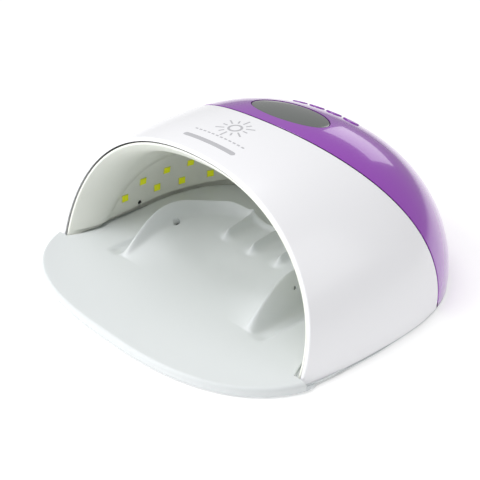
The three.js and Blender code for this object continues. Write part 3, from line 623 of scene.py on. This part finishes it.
def rest_height(x, y):
    """The top of the hand rest: floor, palm hollow, horseshoe ridge, thumb grooves and finger bars."""
    away = crest_offset(x, y)
    floor = TRAY_LEVEL + floor_climb(y) - FLOOR_DROP * smoothstep((y - 35) / 30)
    palm = PALM_DEPTH * np.exp(-((x / 32) ** 2)) * smoothstep((y + 105) / 60) * (1 - smoothstep((y + 20) / 25))
    height = RIDGE_HEIGHT * np.sin(np.clip((y - RIDGE_START) / RIDGE_RISE, 0, 1) * np.pi / 2)
    height = height * (1 - 0.36 * smoothstep((y + 20) / 34))
    height = height * (0.35 + 0.65 * smoothstep((np.abs(x) - 10) / 28))
    bowl = 7 + 8 * smoothstep((y + 57) / 30)
    inside = np.minimum(0, away)
    inner = 0.4 * np.exp(-((inside / 2.0) ** 2)) + 0.6 * np.exp(inside / bowl)
    outer = np.exp(-((np.maximum(0, away) / RIDGE_OUTER) ** 2))
    thumb = THUMB_DEPTH * np.exp(-(((away - THUMB_AWAY) / THUMB_WIDTH) ** 4))
    thumb = thumb * smoothstep((y + 60) / 10) * (1 - smoothstep((y - 5) / 30))
    along = smoothstep((y + 4) / 6) * (1 - smoothstep((y - 16) / 16))
    fades = [np.exp((BAR_ROUND - np.hypot(x - middle, BAR_ROUND)) / BAR_FADE) for middle in BARS_X]
    bars = sum(BAR_HEIGHT * fade * along for fade in fades)
    return floor - palm + height * np.where(away < 0, inner, outer) - thumb + bars


def footprint(count):
    angle = np.linspace(0, 2 * np.pi, count, endpoint=False)
    c, s = np.cos(angle), np.sin(angle)
    centre = np.where(s > 0, DOME_Y, TRAY_Y)
    power = np.where(s > 0, REAR_POWER, TRAY_POWER)
    reach = np.where(s > 0, REAR_REACH, TRAY_REACH)
    x = np.sign(c) * HALF_WIDTH * np.abs(c) ** (2 / power)
    return np.stack([x, centre + np.sign(s) * reach * np.abs(s) ** (2 / power)], -1)


TRAY_CENTRE = np.array([0.0, -70.0])


def ray_to_rim(points):
    """Where the ray from the tray's centre through each point leaves the footprint."""
    out = points - TRAY_CENTRE
    low, high = np.ones(len(points)), np.full(len(points), 60.0)
    for _ in range(60):
        middle = (low + high) / 2
        at = TRAY_CENTRE + out * middle[:, None]
        rear = at[:, 1] > DOME_Y
        front = at[:, 1] < TRAY_Y
        centre = np.where(rear, DOME_Y, TRAY_Y)
        reach = np.where(rear, REAR_REACH, TRAY_REACH)
        power = np.where(rear, REAR_POWER, TRAY_POWER)
        dy = np.where(rear | front, np.abs(at[:, 1] - centre), 0)
        inside = np.abs(at[:, 0] / HALF_WIDTH) ** power + (dy / reach) ** power < 1
        low, high = np.where(inside, middle, low), np.where(inside, high, middle)
    return TRAY_CENTRE + out * low[:, None]


def tray_boundary():
    """The edge of the open hand rest: the front rim, then the foot of the cavity wall."""
    mouth = arch_y(SHELL_FOOT) - GAP
    wall = wall_at(TRAY_LEVEL, -JOINT, 300)[:, :2]
    wall = wall[wall[:, 1] < 76]
    steps = np.concatenate([[0], np.cumsum(np.linalg.norm(np.diff(wall, axis=0), axis=1))])
    even = np.linspace(0, steps[-1], 460)
    wall = np.stack([np.interp(even, steps, wall[:, k]) for k in (0, 1)], -1)
    rim = footprint(1440)
    front = rim[rim[:, 1] < mouth]
    order = np.argsort(np.arctan2(front[:, 1] - DOME_Y, front[:, 0]))
    front = front[order][::3]
    corner_left, corner_right = front[0], front[-1]
    right = [(wall[-1][0], mouth), (corner_right[0], mouth)]
    left = [(corner_left[0], mouth), (wall[0][0], mouth)]
    return np.vstack([wall, right, front[::-1], left])


def crest_share(edge):
    """How far along each ray from the tray's centre to its edge the ridge's crest comes, at most 0.9."""
    low, high = np.zeros(len(edge)), np.ones(len(edge))
    for _ in range(40):
        middle = (low + high) / 2
        at = TRAY_CENTRE + (edge - TRAY_CENTRE) * middle[:, None]
        inside = crest_offset(at[:, 0], at[:, 1]) < 0
        low, high = np.where(inside, middle, low), np.where(inside, high, middle)
    return np.minimum(0.9, low)


def flange_edges(rim, toward, on_rim):
    """The inner and outer edges of the thin flange that runs under the shell's skirt.

    Beside the shell the outer edge is drawn in to just outside it, and swings out to the open rim by the mouth.
    """
    step_in = rim + toward * np.where(on_rim, 0, FLANGE_WIDE)[:, None]
    beside = ~on_rim & (rim[:, 1] < DOME_Y)
    shell_x = dome_x(rim[:, 1], SHELL_FOOT)
    step_in[beside, 0] = np.sign(rim[beside, 0]) * (shell_x[beside] - FLANGE_WIDE)
    step_in[beside, 1] = rim[beside, 1]
    share = smoothstep((-rim[:, 1] - 54) / 12)
    tucked = np.minimum(np.abs(rim[:, 0]), shell_x + 0.7)
    tucked = np.sign(rim[:, 0]) * (tucked * (1 - share) + np.abs(rim[:, 0]) * share)
    return step_in, np.column_stack([np.where(beside, tucked, rim[:, 0]), rim[:, 1]])


def base_tray():
    """The hand rest and base rim, from the middle of its top over the edge to the middle of its underside."""
    edge = tray_boundary()
    rim = ray_to_rim(edge)
    on_rim = np.linalg.norm(rim - edge, axis=1) < 1.2
    rim = np.where(on_rim[:, None], edge, rim)
    radius = np.where(on_rim, 2.2, 0.6)[:, None]
    inward = TRAY_CENTRE - edge
    inward /= np.linalg.norm(inward, axis=1)[:, None]
    rows = []
    inner_edge = edge + inward * radius
    crest = crest_share(inner_edge)
    for step in np.linspace(0, 2, 221)[1:-1]:
        share = crest * step if step < 1 else crest + (1 - crest) * (step - 1)
        xy = TRAY_CENTRE + (inner_edge - TRAY_CENTRE) * share[:, None]
        rows.append(np.column_stack([xy, rest_height(xy[:, 0], xy[:, 1])]))
    for turn in np.linspace(0, math.pi / 2, 9):
        xy = edge + inward * radius * (1 - math.sin(turn))
        top = rest_height(xy[:, 0], xy[:, 1]) - radius[:, 0] * (1 - math.cos(turn))
        rows.append(np.column_stack([xy, top]))
    low = np.where(on_rim, 3.4, RING_LEVEL)
    rows.append(np.column_stack([edge, low]))
    toward = -rim / np.linalg.norm(rim, axis=1)[:, None]
    step_in, rim = flange_edges(rim, toward, on_rim)
    flange = ((step_in, 3.0, RING_LEVEL), (step_in, 2.8, FLANGE_LEVEL), (rim, 2.6, FLANGE_LEVEL))
    for xy, open_level, covered_level in flange:
        rows.append(np.column_stack([xy, np.where(on_rim, open_level, covered_level)]))
    for step, height in ((0, 1.3), (0.3, BASE_BOTTOM), (3.2, BASE_BOTTOM), (3.3, 2.65)):
        xy = rim + toward * step
        rows.append(np.column_stack([xy, np.full(len(xy), height)]))
    middle = (*TRAY_CENTRE, float(rest_height(0.0, -70.0)))
    under = (*TRAY_CENTRE, 2.65)
    tray = disc_solid("tray", rows, middle, under, TRAY, "tray_white", replaces=["base_tray"])
    openings = []
    x, y, z = THUMB_HOLE
    for side in (-1, 1):
        openings.append(prism(slot_outline(side * EYE_X, EYE_Y, EYE_HALF_WIDTH, EYE_STRAIGHT), 8, 60))
        tilt = Matrix.Rotation(side * math.radians(THUMB_HOLE_TILT), 4, "Y")
        openings.append(rod(Matrix.Translation((side * x, y, z)) @ tilt, THUMB_HOLE_RADIUS, -2.5, 6, 32))
    return smooth_shade(cut(tray, *openings), 50)


# ---- Control panel ----
def display_window():
    """A lens that follows the dome, set a little below it, with a soft edge."""
    proud, thick, soft = -0.3, 1.0, 0.3
    turn = np.linspace(0, 2 * np.pi, 96, endpoint=False)
    rings = []

    def ring(share, lift):
        x = WINDOW_HALF_X * share * np.cos(turn)
        y = WINDOW_Y + WINDOW_HALF_Y * share * np.sin(turn)
        rings.append(np.column_stack([x, y, dome_height(x, y) + lift]))

    for share in np.linspace(0.06, 1 - soft / WINDOW_HALF_Y, 14):
        ring(share, proud)
    for a in np.linspace(0, math.pi / 2, 6)[1:]:
        ring(1 - soft / WINDOW_HALF_Y * (1 - math.sin(a)), proud - soft * (1 - math.cos(a)))
    ring(1, -thick)
    middle = float(dome_height(0.0, WINDOW_Y))
    lens = disc_solid("window", rings, (0, WINDOW_Y, middle + proud), (0, WINDOW_Y, middle - thick),
                      SMOKED, "smoked_window", replaces=["display_window"])
    smooth_shade(lens, 40)


def timer_keys():
    """Each key is an oval cap on the panel's own tilt, crowned along the dome and rounded at the edge."""
    matrix = panel_matrix()
    keys_y = key_height()
    count = 64
    turn = np.linspace(0, 2 * np.pi, count, endpoint=False)
    for i in range(4):
        x0 = (i - 1.5) * KEY_PITCH

        def ring(share, lift):
            points = []
            for a in turn:
                x = x0 + KEY_HALF_X * share * math.cos(a)
                y = keys_y + KEY_HALF_Y * share * math.sin(a)
                high = 10.0
                for _ in range(12):
                    at = matrix @ Vector((x, y, high))
                    high += (float(dome_height(at.x, at.y)) - at.z) * 0.9
                points.append(tuple(matrix @ Vector((x, y, high + lift))))
            return points

        soft, crown = 0.5, 0.12
        tops = np.linspace(0.08, 1 - soft / KEY_HALF_Y, 8)
        rings = [ring(share, KEY_PROUD - crown * share ** 2) for share in tops]
        for a in np.linspace(0, math.pi / 2, 6)[1:]:
            share = 1 - soft / KEY_HALF_Y * (1 - math.sin(a))
            rings.append(ring(share, KEY_PROUD - crown - soft * (1 - math.cos(a))))
        rings.append(ring(1, -SHELL_WALL - 0.3))
        rings.append(ring(0.5, -SHELL_WALL - 0.3))
        rings = np.array(rings)
        key = disc_solid(f"key_cap_{i + 1}", rings, rings[0].mean(0), rings[-1].mean(0), PURPLE,
                         "purple_cover", body=f"key_{i + 1}", replaces=[f"timer_button_{i + 1}"])
        smooth_shade(key, 40)


# ---- Print on the front shell ----
def ribbon_loops(left, right, lift=0.045, thick=0.09, steps=5):
    """The cross-section rows of a thin ribbon of print on the dome, between two edges in plan."""
    across = [left * (1 - share) + right * share for share in np.linspace(0, 1, steps)]
    top = [np.column_stack([xy, dome_height(*xy.T) + lift]) for xy in across]
    bottom = [np.column_stack([xy, dome_height(*xy.T) + lift - thick]) for xy in across[::-1]]
    return np.array([*top, *bottom])


def print_mark():
    """A generic mark: a sun of a plain ring and short rays, over a row of dashes and a round-ended bar."""
    points, faces = [], []

    def ribbon(left, right, closed=False):
        rows = ribbon_loops(np.array(left), np.array(right))
        start = len(points)
        n_rows, n_cols = rows.shape[:2]
        points.extend(map(tuple, rows.reshape(-1, 3)))
        faces.extend(grid_faces(n_rows, n_cols, start, wrap_rows=True, wrap_columns=closed))
        if not closed:
            faces.append([start + r * n_cols for r in range(n_rows)])
            faces.append([start + r * n_cols + n_cols - 1 for r in range(n_rows)][::-1])

    cx, cy = -1.5, MARK_Y
    turn = np.linspace(0, 2 * np.pi, 48, endpoint=False)
    circle = np.stack([np.cos(turn), np.sin(turn)], -1)
    ribbon((cx, cy) + circle * 4.4, (cx, cy) + circle * 3.0, closed=True)
    for k in range(12):
        a = 2 * math.pi * k / 12
        way, across = np.array([math.cos(a), math.sin(a)]), np.array([-math.sin(a), math.cos(a)])
        reach = np.linspace(6.2, 11.4 if k % 2 else 9.4, 7)
        middle = np.array([cx, cy]) + reach[:, None] * way
        ribbon(middle + across * 0.5, middle - across * 0.5)
    along = np.linspace(-1, 1, 60)
    half_length, half_width = 20.0, 1.6
    x = along * half_length
    end = np.maximum(0, np.abs(x) - (half_length - half_width))
    width = np.sqrt(np.maximum(0.02, half_width ** 2 - end ** 2))
    ribbon(np.stack([x, BAR_Y + width], -1), np.stack([x, BAR_Y - width], -1))
    for k in range(12):
        dash = np.linspace(0, 2.0, 5) - 19.5 + 3.3 * k
        ribbon(*[np.stack([dash, np.full(5, DASHES_Y + side * 0.55)], -1) for side in (1, -1)])
    mark = mesh_object("print_mark", points, faces, PRINT, None)
    return smooth_shade(mark, 60)


# ---- The CAD's own hidden parts ----
def dress_cad_nodes():
    """Gives every CAD node that still shows its material and a fine edge round."""
    slots = {part["node"]: part["material_slot"] for part in frame["record"]["subparts"]}
    for name, node in NODES.items():
        if node.hide_render:
            continue
        node.data.materials.clear()
        node.data.materials.append(SLOT_MATERIALS[slots[name]])
        bevel = node.modifiers.new("bevel", "BEVEL")
        bevel.width = 0.0002
        bevel.segments = 2
        bevel.limit_method = "ANGLE"
        bevel.harden_normals = True


# ---- Studio ----
def area_light(name, place, target, size, power, color=(1, 1, 1)):
    light = bpy.data.lights.new(name, "AREA")
    light.shape = "RECTANGLE"
    light.size, light.size_y = size
    light.energy = power
    light.color = color
    holder = bpy.data.objects.new(name, light)
    holder.location = place
    holder.rotation_euler = (Vector(target) - Vector(place)).to_track_quat("-Z", "Y").to_euler()
    bpy.context.scene.collection.objects.link(holder)


def studio():
    """A plain pale floor, an even white surround and five soft lights."""
    mesh = bpy.data.meshes.new("floor")
    mesh.from_pydata([(-4, -4, 0), (4, -4, 0), (4, 4, 0), (-4, 4, 0)], [], [(0, 1, 2, 3)])
    floor = bpy.data.objects.new("floor", mesh)
    bpy.context.scene.collection.objects.link(floor)
    mesh.materials.append(material("floor", (0.9, 0.9, 0.9), 0.7,
                                   Emission_Color=(1, 1, 1, 1), Emission_Strength=0.26))
    world = bpy.data.worlds.new("studio")
    bpy.context.scene.world = world
    world.use_nodes = True
    world.node_tree.nodes["Background"].inputs["Color"].default_value = (1, 1, 1, 1)
    world.node_tree.nodes["Background"].inputs["Strength"].default_value = 0.36
    area_light("top", (-0.1, -0.1, 1.15), (0, 0, 0.03), (1.2, 0.9), 6.2)
    area_light("key", (-0.55, -0.8, 0.95), (0, -0.02, 0.03), (0.8, 0.6), 5.6)
    area_light("right", (0.8, 0.35, 0.62), (0, 0, 0.05), (0.5, 0.6), 1.5)
    area_light("front", (-0.45, -1.0, 0.24), (0, 0, 0.03), (0.8, 0.4), 4.0)
    area_light("back", (-0.27, 0.98, 0.44), (0, 0.05, 0.05), (0.42, 0.3), 0.5)


def camera():
    """Looks at the lamp from the front right, a little above it."""
    turn, rise = math.radians(CAMERA_TURN), math.radians(CAMERA_RISE)
    back = Vector((math.sin(turn) * math.cos(rise), -math.cos(turn) * math.cos(rise), math.sin(rise)))
    data = bpy.data.cameras.new("camera")
    data.lens = CAMERA_LENS
    data.sensor_width = 36
    data.clip_start = 0.01
    view = bpy.data.objects.new("camera", data)
    view.location = (Vector(CAMERA_TARGET) + back * CAMERA_AWAY) / 1000
    view.rotation_mode = "QUATERNION"
    view.rotation_quaternion = (-back).to_track_quat("-Z", "Y")
    bpy.context.scene.collection.objects.link(view)
    bpy.context.scene.camera = view


front_shell()
rear_cover()
inner_liner()
led_chips()
base_tray()
display_window()
timer_keys()
print_mark()
dress_cad_nodes()
studio()
camera()
bpy.context.scene.view_settings.view_transform = "Standard"
